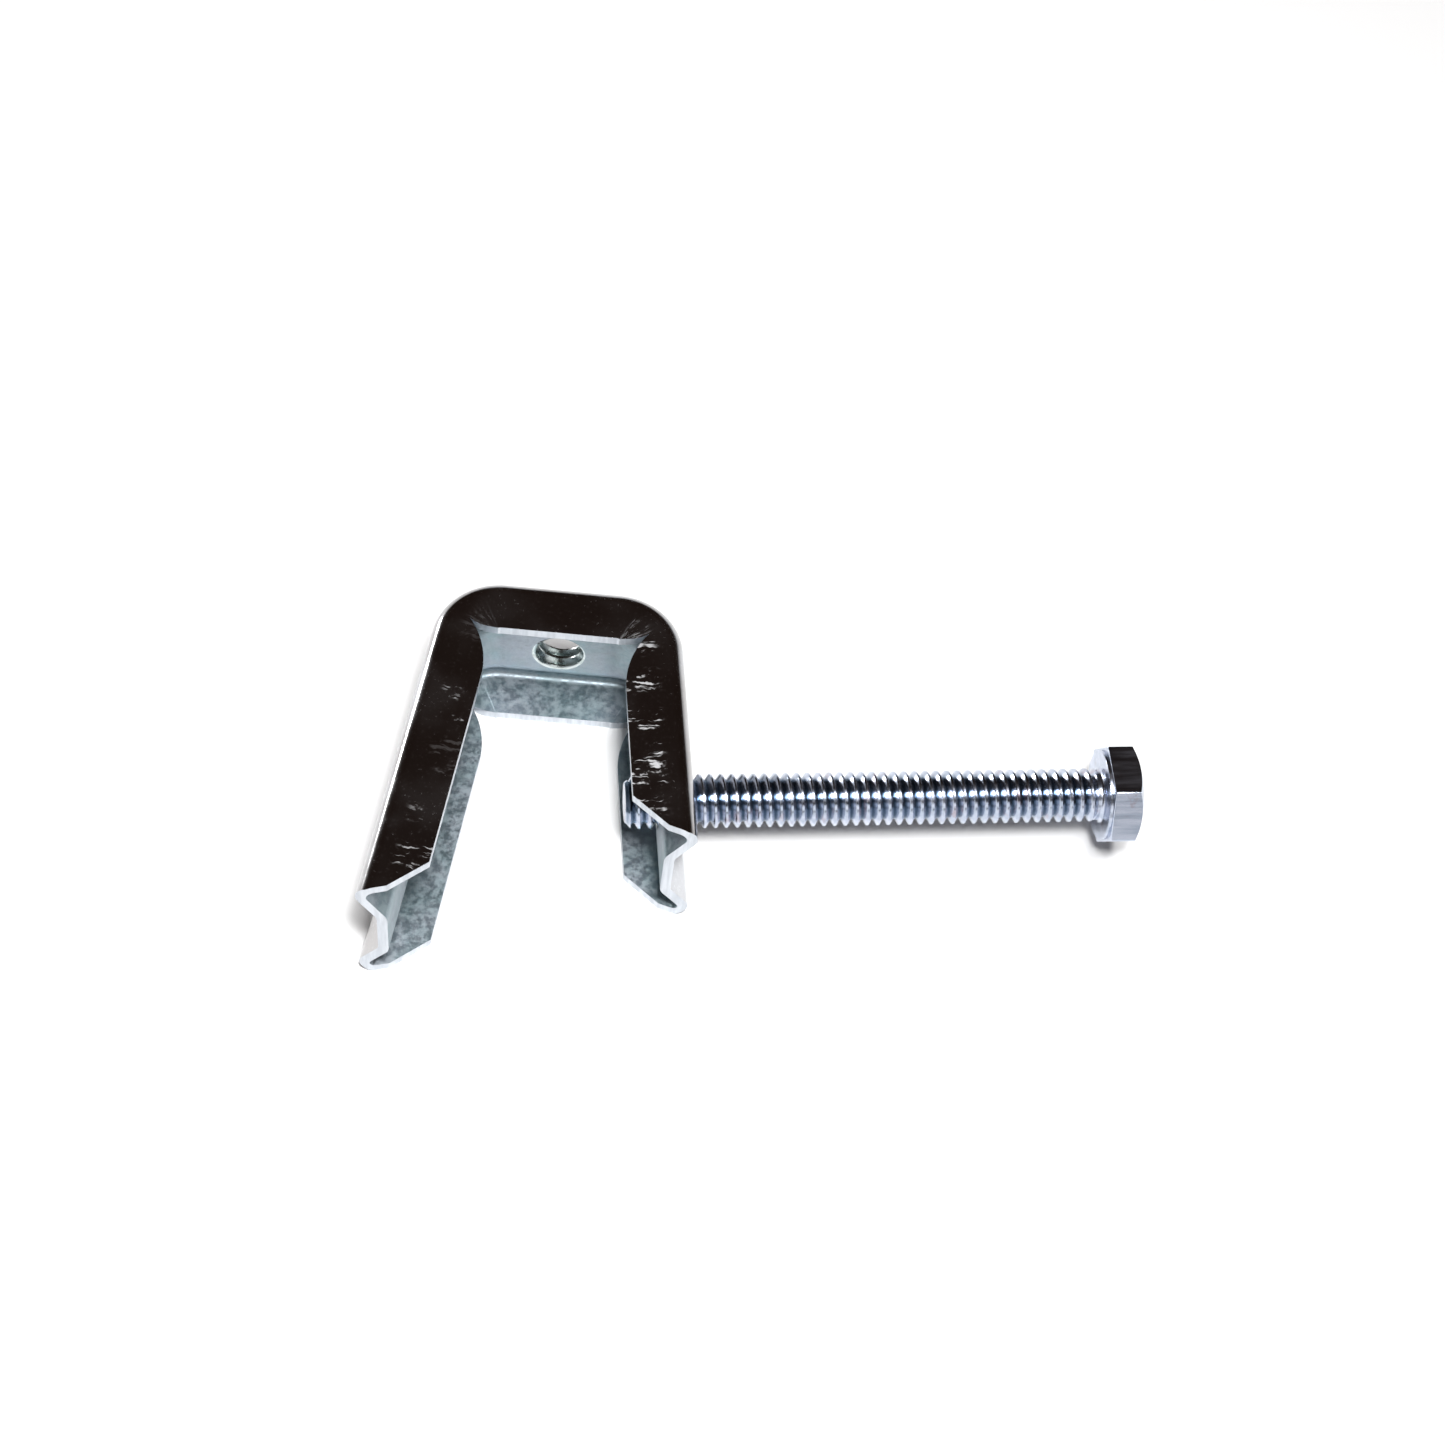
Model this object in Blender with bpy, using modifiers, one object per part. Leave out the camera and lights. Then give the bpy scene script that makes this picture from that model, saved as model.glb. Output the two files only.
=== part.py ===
"""Screw clamp: a U of pressed sheet-steel channel, closed by a fully threaded hex bolt.

The strip is a channel whose flanges point into the U and whose middle is pressed in as a rib.
The U lies on its back flanges. Its web is across the top, its mouth faces -Y, and the bolt
runs along +X through a tapped collar near the end of the short leg. A second collar of the
same thread, empty, is in the middle of the web.

World frame: the origin is on the underside of the short leg's back flange, below the bolt.
+X runs along the bolt to its head, +Y from the mouth to the web, +Z up.
"""

from math import acos, atan2, cos, hypot, pi, radians, sin, sqrt, tan

import bmesh
import bpy
from mathutils import Matrix, Vector

MM = 0.001

# Channel strip
STRIP_HEIGHT = 19.0 * MM
FLANGE_WIDTH = 7.1 * MM
SHEET = 1.2 * MM
BEND_RADIUS = 2.0 * MM
RIB_DEPTH = 2.3 * MM
RIB_FLOOR = 6.8 * MM

# U, measured along the outer faces and their meeting points
WEB_WIDTH = 27.5 * MM
LONG_LEG = 43.2 * MM
SHORT_LEG = 32.4 * MM
SPLAY = radians(7.0)
CORNER_INNER_RADIUS = 0.9 * MM

# Cut corners of the flange ends
END_CUT_LENGTH = 4.8 * MM
END_CUT_LEVEL = 3.3 * MM
END_CUT_STEP = 0.9 * MM

# Relief notches in the flanges, at the two inner corners: how far the tip goes into each flange's
# width, the radii of the rounded shoulders on both sides, and how squarely the cut starts on an edge
NOTCH_INTO_LEG = 3.1 * MM
NOTCH_INTO_WEB = 1.05 * MM
LEG_SHOULDER_RADIUS = 11.0 * MM
WEB_SHOULDER_RADIUS = 4.8 * MM
NOTCH_START = radians(5.0)

# Unified coarse thread, a quarter inch with 20 threads to the inch
THREAD_DIAMETER = 6.3 * MM
THREAD_PITCH = 1.27 * MM
THREAD_DEPTH = 0.74 * MM
THREAD_CREST = 0.16 * MM
THREAD_RUNNING_GAP = 0.3 * MM

# Tapped collars
BOLT_FROM_LEG_END = 9.7 * MM
COLLAR_WALL = 0.8 * MM
COLLAR_INSET = 0.4 * MM
INNER_THREAD_DEPTH = 0.55 * MM
MOUTH_FLARE = 0.8 * MM

# Hex bolt
BOLT_LENGTH = 56.2 * MM
BOLT_STAND_OFF = 48.9 * MM
BOLT_TIP_CHAMFER = 0.75 * MM
HEAD_ACROSS_FLATS = 11.1 * MM
HEAD_HEIGHT = 4.0 * MM
HEAD_CORNER_CUT = radians(30.0)
HEAD_CROWN = 0.04 * MM
WASHER_FACE_HEIGHT = 0.4 * MM
WASHER_FACE_INSET = 0.25 * MM

# Fineness of the faceted shapes
BEND_STEPS = 5
CORNER_STEPS = 9
THREAD_STEPS = 14
ROUND_SIDES = 32

# How far a cutter runs past what it cuts, and how far joined pieces sink into each other
OVERRUN = 2.0 * MM
JOIN = 0.4 * MM
WELD = 0.000005

# Places that follow from the sizes above
HALF_HEIGHT = STRIP_HEIGHT / 2
TURN = pi / 2 - SPLAY
CORNER_RADIUS = FLANGE_WIDTH + CORNER_INNER_RADIUS
CORNER_RUN = CORNER_RADIUS * tan(TURN / 2)
FLANGE_FLAT_MIDDLE = (BEND_RADIUS + FLANGE_WIDTH) / 2
BOLT_ALONG_LEG = SHORT_LEG - BOLT_FROM_LEG_END
THREAD_RADIUS = THREAD_DIAMETER / 2
BOLT_BORE = THREAD_DIAMETER + 2 * THREAD_RUNNING_GAP
TAPPED_BORE = THREAD_DIAMETER - 2 * INNER_THREAD_DEPTH
COLLAR_RADIUS = BOLT_BORE / 2 + COLLAR_WALL
LONG, SHORT = -1, 1


def new_collection(name):
    collection = bpy.data.collections.new(name)
    bpy.context.scene.collection.children.link(collection)
    return collection


def zinc(name, colour, roughness):
    """A bright zinc finish."""
    material = bpy.data.materials.new(name)
    material.use_nodes = True
    shader = material.node_tree.nodes["Principled BSDF"]
    shader.inputs["Base Color"].default_value = (*colour, 1.0)
    shader.inputs["Metallic"].default_value = 1.0
    shader.inputs["Roughness"].default_value = roughness
    return material


def add_object(name, bm, collection, parent=None):
    """Turn a bmesh into a named object and put it in a collection."""
    mesh = bpy.data.meshes.new(name)
    bm.to_mesh(mesh)
    bm.free()
    obj = bpy.data.objects.new(name, mesh)
    collection.objects.link(obj)
    obj.parent = parent
    return obj


def as_cutter(obj):
    obj.hide_render = True
    obj.display_type = "WIRE"
    return obj


def add_boolean(obj, operation, other):
    modifier = obj.modifiers.new(other.name, "BOOLEAN")
    modifier.operation = operation
    modifier.solver = "EXACT"
    modifier.object = other


def cylinder(name, radius, start, end, axis, centre, parent, far_radius=None):
    """A round cutter from start to end along axis, through centre."""
    bm = bmesh.new()
    length = end - start
    far_radius = radius if far_radius is None else far_radius
    place = axis.to_track_quat("Z", "Y").to_matrix().to_4x4()
    place.translation = centre + axis * (start + length / 2)
    bmesh.ops.create_cone(
        bm, cap_ends=True, segments=ROUND_SIDES,
        radius1=radius, radius2=far_radius, depth=length, matrix=place
    )
    return as_cutter(add_object(name, bm, cutters, parent))


def plate(name, outline, low, high, parent):
    """A flat cutter with an outline in plan, between two heights."""
    curve = bpy.data.curves.new(name, "CURVE")
    curve.dimensions = "2D"
    curve.fill_mode = "BOTH"
    curve.extrude = (high - low) / 2
    spline = curve.splines.new("POLY")
    spline.points.add(len(outline) - 1)
    for point, (x, y) in zip(spline.points, outline):
        point.co = (x, y, 0.0, 1.0)
    spline.use_cyclic_u = True
    source = bpy.data.objects.new(name + "_outline", curve)
    cutters.objects.link(source)
    bpy.context.view_layer.update()
    evaluated = source.evaluated_get(bpy.context.evaluated_depsgraph_get())
    mesh = bpy.data.meshes.new_from_object(evaluated)
    bm = bmesh.new()
    bm.from_mesh(mesh)
    bmesh.ops.remove_doubles(bm, verts=bm.verts, dist=WELD)
    bmesh.ops.recalc_face_normals(bm, faces=bm.faces)
    bpy.data.objects.remove(source)
    bpy.data.curves.remove(curve)
    bpy.data.meshes.remove(mesh)
    obj = as_cutter(add_object(name, bm, cutters, parent))
    obj.location.z = (low + high) / 2
    return obj


def leg_point(side, inward, along, height=0.0):
    """A point on a leg: inward from its outer face, and along it from the web's outer line."""
    return Vector(
        (
            side * (WEB_WIDTH / 2 + along * sin(SPLAY) - inward * cos(SPLAY)),
            -along * cos(SPLAY) - inward * sin(SPLAY),
            height,
        )
    )


def section_outline():
    """The strip's outer face in section, as (inward, height) from one free edge to the other."""
    centre = (BEND_RADIUS, HALF_HEIGHT - BEND_RADIUS)
    floor_edge = (RIB_DEPTH, RIB_FLOOR / 2)
    reach = (floor_edge[0] - centre[0], floor_edge[1] - centre[1])
    towards = atan2(reach[1], reach[0]) % (2 * pi)
    last = towards - acos(BEND_RADIUS / hypot(*reach))
    half = [(FLANGE_WIDTH, HALF_HEIGHT)]
    for step in range(BEND_STEPS + 1):
        angle = pi / 2 + (last - pi / 2) * step / BEND_STEPS
        half.append((centre[0] + BEND_RADIUS * cos(angle), centre[1] + BEND_RADIUS * sin(angle)))
    half.append(floor_edge)
    return half + [(inward, -height) for inward, height in reversed(half)]


def sweep_strip():
    """The strip's outer face, swept from the long leg's end round the U to the short leg's end."""
    bm = bmesh.new()
    start = [
        bm.verts.new(leg_point(LONG, inward, LONG_LEG, HALF_HEIGHT + height))
        for inward, height in section_outline()
    ]
    edges = [bm.edges.new(pair) for pair in zip(start, start[1:])]
    up = leg_point(LONG, 0, 0) - leg_point(LONG, 0, 1)
    down = leg_point(SHORT, 0, 1) - leg_point(SHORT, 0, 0)
    runs = (
        (up * (LONG_LEG - CORNER_RUN), leg_point(LONG, CORNER_RADIUS, CORNER_RUN)),
        (Vector((WEB_WIDTH - 2 * CORNER_RUN, 0, 0)), leg_point(SHORT, CORNER_RADIUS, CORNER_RUN)),
        (down * (SHORT_LEG - CORNER_RUN), None),
    )
    for offset, corner in runs:
        edges = straight(bm, edges, offset)
        if corner is not None:
            edges = around(bm, edges, corner)
    bmesh.ops.remove_doubles(bm, verts=bm.verts, dist=WELD)
    return bm


def straight(bm, edges, offset):
    """Extrude the section by an offset."""
    new = bmesh.ops.extrude_edge_only(bm, edges=edges)["geom"]
    verts = {g for g in new if isinstance(g, bmesh.types.BMVert)}
    bmesh.ops.translate(bm, verts=list(verts), vec=offset)
    return [g for g in new if isinstance(g, bmesh.types.BMEdge) and set(g.verts) <= verts]


def around(bm, edges, corner):
    """Spin the section about a corner of the U."""
    new = bmesh.ops.spin(
        bm, geom=edges + list({v for e in edges for v in e.verts}),
        cent=corner, axis=(0, 0, 1), angle=-TURN, steps=CORNER_STEPS
    )["geom_last"]
    return [g for g in new if isinstance(g, bmesh.types.BMEdge)]


def end_cutters(side, length, parent):
    """The cut corners of both flanges at a leg's end."""
    slant = (END_CUT_LENGTH - END_CUT_STEP) / (FLANGE_WIDTH - END_CUT_LEVEL)
    flat = (END_CUT_LEVEL - SHEET) / END_CUT_STEP
    outline = [
        leg_point(side, FLANGE_WIDTH + OVERRUN, length - END_CUT_LENGTH - OVERRUN * slant).xy,
        leg_point(side, END_CUT_LEVEL, length - END_CUT_STEP).xy,
        leg_point(side, SHEET - JOIN * flat, length + JOIN).xy,
        leg_point(side, SHEET - JOIN * flat, length + OVERRUN).xy,
        leg_point(side, FLANGE_WIDTH + OVERRUN, length + OVERRUN).xy,
    ]
    reach = BEND_RADIUS
    name = "long" if side == LONG else "short"
    return [
        plate(f"{name}_end_cut_front", outline, STRIP_HEIGHT - reach, STRIP_HEIGHT + OVERRUN, parent),
        plate(f"{name}_end_cut_back", outline, -OVERRUN, reach, parent),
    ]


def notch_angles(radius, depth, steps):
    """Angles round a shoulder, from just after its start on the flange's edge to the notch's tip."""
    last = acos(1 - depth / radius)
    return [NOTCH_START + (last - NOTCH_START) * step / steps for step in range(steps + 1)]


def notch_cutter(side, parent):
    """A relief through both flanges at an inner corner: a V whose two sides are rounded shoulders."""
    tip_inward = FLANGE_WIDTH - NOTCH_INTO_LEG
    tip_along = (FLANGE_WIDTH - NOTCH_INTO_WEB - tip_inward * sin(SPLAY)) / cos(SPLAY)
    around_leg = notch_angles(LEG_SHOULDER_RADIUS, NOTCH_INTO_LEG, 10)
    around_web = notch_angles(WEB_SHOULDER_RADIUS, NOTCH_INTO_WEB, 6)
    leg_start = tip_along + LEG_SHOULDER_RADIUS * sin(around_leg[-1])
    web_start = side * leg_point(side, tip_inward, tip_along).x - WEB_SHOULDER_RADIUS * sin(around_web[-1])
    outline = []
    for angle in around_leg:
        inward = FLANGE_WIDTH - LEG_SHOULDER_RADIUS * (1 - cos(angle))
        outline.append(leg_point(side, inward, leg_start - LEG_SHOULDER_RADIUS * sin(angle)).xy)
    for angle in reversed(around_web[:-1]):
        across = web_start + WEB_SHOULDER_RADIUS * sin(angle)
        outline.append(Vector((side * across, WEB_SHOULDER_RADIUS * (1 - cos(angle)) - FLANGE_WIDTH)))
    outline.insert(0, outline[0] + (outline[0] - outline[1]).normalized() * OVERRUN)
    outline.append(outline[-1] + (outline[-1] - outline[-2]).normalized() * OVERRUN)
    outline.append(leg_point(side, FLANGE_WIDTH + OVERRUN, FLANGE_WIDTH + OVERRUN).xy)
    name = "long" if side == LONG else "short"
    return plate(f"{name}_corner_notch", outline, -OVERRUN, STRIP_HEIGHT + OVERRUN, parent)


def add_collar(frame, name, centre, outward, bore):
    """A collar drawn out into the groove behind the rib, its bore, and the bore's flared mouth."""
    collar = cylinder(
        name + "_collar", COLLAR_RADIUS, -RIB_DEPTH - JOIN, -COLLAR_INSET, outward, centre, frame
    )
    hole = cylinder(name + "_bore", bore / 2, -FLANGE_WIDTH, OVERRUN, outward, centre, frame)
    rib_face = RIB_DEPTH + SHEET
    flare = MOUTH_FLARE / 2
    cone = cylinder(
        name + "_mouth", bore / 2 + flare + JOIN, -rib_face - JOIN, -rib_face + flare + JOIN,
        outward, centre, frame, far_radius=bore / 2 - JOIN
    )
    add_boolean(frame, "UNION", collar)
    add_boolean(frame, "DIFFERENCE", hole)
    add_boolean(frame, "DIFFERENCE", cone)


def make_clamp_frame():
    """The U of channel, with its end cuts, corner notches and tapped collars."""
    frame = add_object("clamp_frame", sweep_strip(), parts)
    frame.data.materials.append(zinc("bright zinc on sheet", (0.55, 0.57, 0.60), 0.28))
    wall = frame.modifiers.new("sheet", "SOLIDIFY")
    wall.thickness = SHEET
    wall.offset = -1.0
    wall.use_even_offset = True
    for side, length in ((LONG, LONG_LEG), (SHORT, SHORT_LEG)):
        for cutter in end_cutters(side, length, frame):
            add_boolean(frame, "DIFFERENCE", cutter)
        add_boolean(frame, "DIFFERENCE", notch_cutter(side, frame))
    middle = Vector((0, 0, HALF_HEIGHT))
    add_collar(frame, "web", middle, Vector((0, 1, 0)), TAPPED_BORE)
    seat = leg_point(SHORT, 0, BOLT_ALONG_LEG, HALF_HEIGHT)
    outward = Vector((cos(SPLAY), sin(SPLAY), 0))
    add_collar(frame, "bolt", seat, outward, BOLT_BORE)
    turn = Matrix.Rotation(-SPLAY, 4, "Z")
    frame.rotation_euler.z = -SPLAY
    frame.location = -(turn @ leg_point(SHORT, FLANGE_FLAT_MIDDLE, BOLT_ALONG_LEG))
    return frame


def thread_blank(parent):
    """The helical thread as a closed body along +Z, longer than the bolt at both ends."""
    turns = int(BOLT_LENGTH / THREAD_PITCH) + 3
    flank = (THREAD_PITCH - THREAD_CREST) / 2
    root = THREAD_RADIUS - THREAD_DEPTH
    crest_end = flank + THREAD_CREST
    profile = ((root, 0.0), (THREAD_RADIUS, flank), (THREAD_RADIUS, crest_end), (root, THREAD_PITCH))
    bm = bmesh.new()
    points = [bm.verts.new((radius, 0.0, height - THREAD_PITCH)) for radius, height in profile]
    edges = [bm.edges.new(pair) for pair in zip(points, points[1:])]
    bmesh.ops.spin(
        bm, geom=points + edges, cent=(0, 0, 0), axis=(0, 0, 1),
        dvec=(0, 0, THREAD_PITCH / THREAD_STEPS), angle=2 * pi * turns, steps=turns * THREAD_STEPS
    )
    bmesh.ops.remove_doubles(bm, verts=bm.verts, dist=WELD)
    close_end(bm, lambda z: z < THREAD_PITCH * 2)
    close_end(bm, lambda z: z > THREAD_PITCH * 2)
    bmesh.ops.recalc_face_normals(bm, faces=bm.faces)
    return as_cutter(add_object("bolt_thread", bm, cutters, parent))


def close_end(bm, at_end):
    """Close one open end of the thread by drawing its rim in to a point on the axis."""
    rim = [e for e in bm.edges if e.is_boundary and at_end(e.verts[0].co.z)]
    new = bmesh.ops.extrude_edge_only(bm, edges=rim)["geom"]
    verts = [g for g in new if isinstance(g, bmesh.types.BMVert)]
    height = sum(v.co.z for v in verts) / len(verts)
    bmesh.ops.pointmerge(bm, verts=verts, merge_co=(0, 0, height))


def turned(name, profile, parent):
    """A turned cutter: a profile at +X, listed top to bottom, with a Screw modifier."""
    bm = bmesh.new()
    points = [bm.verts.new((radius, 0.0, height)) for radius, height in profile]
    for pair in zip(points, points[1:]):
        bm.edges.new(pair)
    obj = as_cutter(add_object(name, bm, cutters, parent))
    screw = obj.modifiers.new("turn", "SCREW")
    screw.steps = ROUND_SIDES
    screw.render_steps = ROUND_SIDES
    screw.use_merge_vertices = True
    screw.merge_threshold = WELD
    return obj


def make_hex_bolt():
    """The bolt along its own +Z: tip at the bottom, bearing face at BOLT_LENGTH, head above."""
    corner_radius = HEAD_ACROSS_FLATS / sqrt(3)
    top = BOLT_LENGTH + HEAD_HEIGHT
    hex_bottom = BOLT_LENGTH + WASHER_FACE_HEIGHT
    bm = bmesh.new()
    bmesh.ops.create_cone(
        bm, cap_ends=True, segments=6, radius1=corner_radius, radius2=corner_radius,
        depth=top - hex_bottom, matrix=Matrix.Translation((0, 0, (top + hex_bottom) / 2))
    )
    bolt = add_object("hex_bolt", bm, parts)
    bolt.data.materials.append(zinc("bright zinc on bolt", (0.60, 0.62, 0.68), 0.22))

    flat_radius = HEAD_ACROSS_FLATS / 2
    outer = corner_radius + OVERRUN
    drop = (outer - flat_radius) * tan(HEAD_CORNER_CUT)
    crown = turned(
        "head_corner_cut",
        [(0, top + HEAD_CROWN), (flat_radius, top), (outer, top - drop), (outer, hex_bottom - OVERRUN),
         (0, hex_bottom - OVERRUN)],
        bolt,
    )
    washer = cylinder(
        "washer_face", flat_radius - WASHER_FACE_INSET, BOLT_LENGTH, hex_bottom + JOIN,
        Vector((0, 0, 1)), Vector(), bolt
    )
    thread = thread_blank(bolt)
    tip_radius = THREAD_RADIUS - BOLT_TIP_CHAMFER
    sleeve = THREAD_RADIUS + JOIN
    thread_top = BOLT_LENGTH + JOIN
    ends = turned(
        "thread_ends",
        [(0, thread_top), (sleeve, thread_top), (sleeve, sleeve - tip_radius), (tip_radius, 0), (0, 0)],
        bolt,
    )
    add_boolean(thread, "INTERSECT", ends)
    add_boolean(bolt, "INTERSECT", crown)
    add_boolean(bolt, "UNION", washer)
    add_boolean(bolt, "UNION", thread)
    bolt.rotation_euler.y = pi / 2
    bolt.location = (FLANGE_FLAT_MIDDLE + BOLT_STAND_OFF - BOLT_LENGTH, 0, HALF_HEIGHT)
    return bolt


def clear_scene():
    for obj in list(bpy.data.objects):
        bpy.data.objects.remove(obj)


def smooth(obj):
    obj.data.shade_smooth()
    obj.data.set_sharp_from_angle(angle=radians(35))


clear_scene()
parts = new_collection("screw_clamp")
cutters = new_collection("screw_clamp_cutters")
for piece in (make_clamp_frame(), make_hex_bolt()):
    smooth(piece)
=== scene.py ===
"""Looks for the screw clamp: a U of pressed, zinc-plated channel with a threaded hex bolt.

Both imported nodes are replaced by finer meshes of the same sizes. The clamp is modelled standing
in its own frame, with its web across the top and its middle height at zero, and then turned and
moved to its place. The bolt is modelled along +Z with its tip at zero, and then laid along +X.
"""

from math import acos, atan2, cos, floor, hypot, pi, radians, sin, sqrt, tan

import bpy
from mathutils import Matrix, Vector


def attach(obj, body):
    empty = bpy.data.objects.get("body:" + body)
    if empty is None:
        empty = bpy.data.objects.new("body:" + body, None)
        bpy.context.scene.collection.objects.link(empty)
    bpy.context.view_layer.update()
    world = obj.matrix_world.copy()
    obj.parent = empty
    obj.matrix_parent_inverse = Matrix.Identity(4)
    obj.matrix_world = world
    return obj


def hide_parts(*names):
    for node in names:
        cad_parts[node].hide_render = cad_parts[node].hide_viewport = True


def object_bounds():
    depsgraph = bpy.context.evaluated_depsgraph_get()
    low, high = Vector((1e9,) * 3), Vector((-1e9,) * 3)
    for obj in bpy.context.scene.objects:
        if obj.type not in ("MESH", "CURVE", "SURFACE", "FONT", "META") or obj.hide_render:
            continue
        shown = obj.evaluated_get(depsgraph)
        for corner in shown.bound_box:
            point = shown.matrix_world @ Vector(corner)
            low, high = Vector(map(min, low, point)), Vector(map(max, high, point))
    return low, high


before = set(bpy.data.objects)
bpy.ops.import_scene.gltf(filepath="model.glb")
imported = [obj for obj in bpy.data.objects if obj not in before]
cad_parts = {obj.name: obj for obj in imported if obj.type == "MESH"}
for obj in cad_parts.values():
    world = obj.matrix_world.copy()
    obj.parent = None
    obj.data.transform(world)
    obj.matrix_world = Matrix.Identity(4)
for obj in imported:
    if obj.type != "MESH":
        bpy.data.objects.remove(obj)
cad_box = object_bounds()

MM = 0.001

# Channel strip
STRIP_HEIGHT = 19.0 * MM
FLANGE_WIDTH = 7.1 * MM
SHEET = 1.2 * MM
BEND_RADIUS = 2.0 * MM
RIB_DEPTH = 2.3 * MM
RIB_FLOOR = 6.8 * MM
RIB_FILLET = 1.3 * MM

# U of the clamp
WEB_WIDTH = 27.5 * MM
LONG_LEG = 43.2 * MM
SHORT_LEG = 32.4 * MM
SPLAY = radians(7.0)
CORNER_RADIUS = 8.0 * MM

# Cut flange ends and corner reliefs
END_CUT_LENGTH = 4.8 * MM
END_CUT_LEVEL = 3.3 * MM
END_CUT_STEP = 0.9 * MM
NOTCH_INTO_LEG = 3.1 * MM
NOTCH_INTO_WEB = 1.05 * MM
LEG_SHOULDER_RADIUS = 11.0 * MM
WEB_SHOULDER_RADIUS = 4.8 * MM
NOTCH_START = radians(5.0)
SHEARED_EDGE = 0.12 * MM

# Collars
TAPPED_RADIUS = 2.6 * MM
COLLAR_RADIUS = 4.25 * MM
COLLAR_INSET = 0.4 * MM
COLLAR_FILLET = 0.6 * MM
COLLAR_LIP = 0.2 * MM
FOOT_SINK = 0.06 * MM
MOUTH_FLARE = 0.6 * MM
MOUTH_DIP = 0.05 * MM
BOLT_FROM_LEG_END = 9.7 * MM

# Bolt
THREAD_RADIUS = 3.15 * MM
THREAD_PITCH = 1.27 * MM
THREAD_DEPTH = 0.74 * MM
THREAD_PLAY = 0.1 * MM
BOLT_LENGTH = 56.2 * MM
BOLT_STAND_OFF = 48.9 * MM
TIP_CHAMFER = 0.75 * MM
TIP_ROUND = 0.1 * MM
NECK_LENGTH = 1.3 * MM
NECK_RADIUS = 2.95 * MM
NECK_FILLET = 0.45 * MM
HEAD_ACROSS_FLATS = 11.1 * MM
HEAD_HEIGHT = 4.0 * MM
HEAD_CORNER_CUT = radians(30.0)
HEAD_EDGE = 0.15 * MM
WASHER_FACE_HEIGHT = 0.4 * MM
WASHER_FACE_RADIUS = 5.3 * MM
WASHER_LIP = 0.08 * MM
TOP_FLAT_SHARE = 0.95

# Half of a thread's groove, from its crest to its root: share of the pitch, share of the depth
THREAD_FLANK = [(0.0, 0.0), (0.17, 0.0), (0.27, 0.07), (0.92, 0.94), (1.0, 1.0)]

# Scuffed stretches of the outer face, in millimetres along the strip from the middle of the web,
# negative towards the long leg's end: start, end, strength
SCUFFED_STRETCHES = [
    (-51.5, -47.5, 0.7), (-45.0, -42.5, 0.6), (-38.5, -33.0, 0.35), (-31.3, -30.2, 0.8),
    (-28.5, -26.0, 0.6), (-20.0, -10.0, 0.3), (10.0, 16.0, 0.5), (17.5, 20.0, 0.9),
    (21.5, 25.0, 1.0), (27.0, 30.5, 1.0), (31.8, 37.5, 1.0), (39.0, 41.5, 0.8),
]

# Studio
FLOOR_SIZE = 6.0
CAMERA_TARGET = Vector((0.01082, 0.01706, 0.0))
CAMERA_AZIMUTH = radians(-12.02)
CAMERA_ELEVATION = radians(56.25)
CAMERA_ROLL = radians(9.33)
CAMERA_DISTANCE = 0.3049
CAMERA_LENS = 61.7
LIGHT_TARGET = Vector((0.01, 0.0, 0.0))
PALE_WALL_TOP = 0.06
DARK_ROOM_START = 0.16

# Fineness
BEND_STEPS = 10
FILLET_STEPS = 5
CORNER_STEPS = 28
LEG_CUTS = 12
WEB_CUTS = 3
TURN_STEPS = 40
ROUND_SIDES = 96
SMOOTH_ANGLE = radians(35)
WORN_ANGLE = radians(50)
SCUFF_FADE = 0.4

# How far a cutter runs past what it cuts, how far joined pieces sink in, and what counts as one point
OVERRUN = 2.0 * MM
JOIN = 0.3 * MM
WELD = 0.004 * MM

HALF_HEIGHT = STRIP_HEIGHT / 2
TURN = pi / 2 - SPLAY
CORNER_RUN = CORNER_RADIUS * tan(TURN / 2)
FLANGE_FLAT_MIDDLE = (BEND_RADIUS + FLANGE_WIDTH) / 2
BOLT_ALONG_LEG = SHORT_LEG - BOLT_FROM_LEG_END
BOLT_TIP_X = FLANGE_FLAT_MIDDLE + BOLT_STAND_OFF - BOLT_LENGTH
LONG, SHORT = -1, 1
ROLLED, DULL, SHEARED, TAPPED = range(4)


# ---------------------------------------------------------------- finishes

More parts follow.
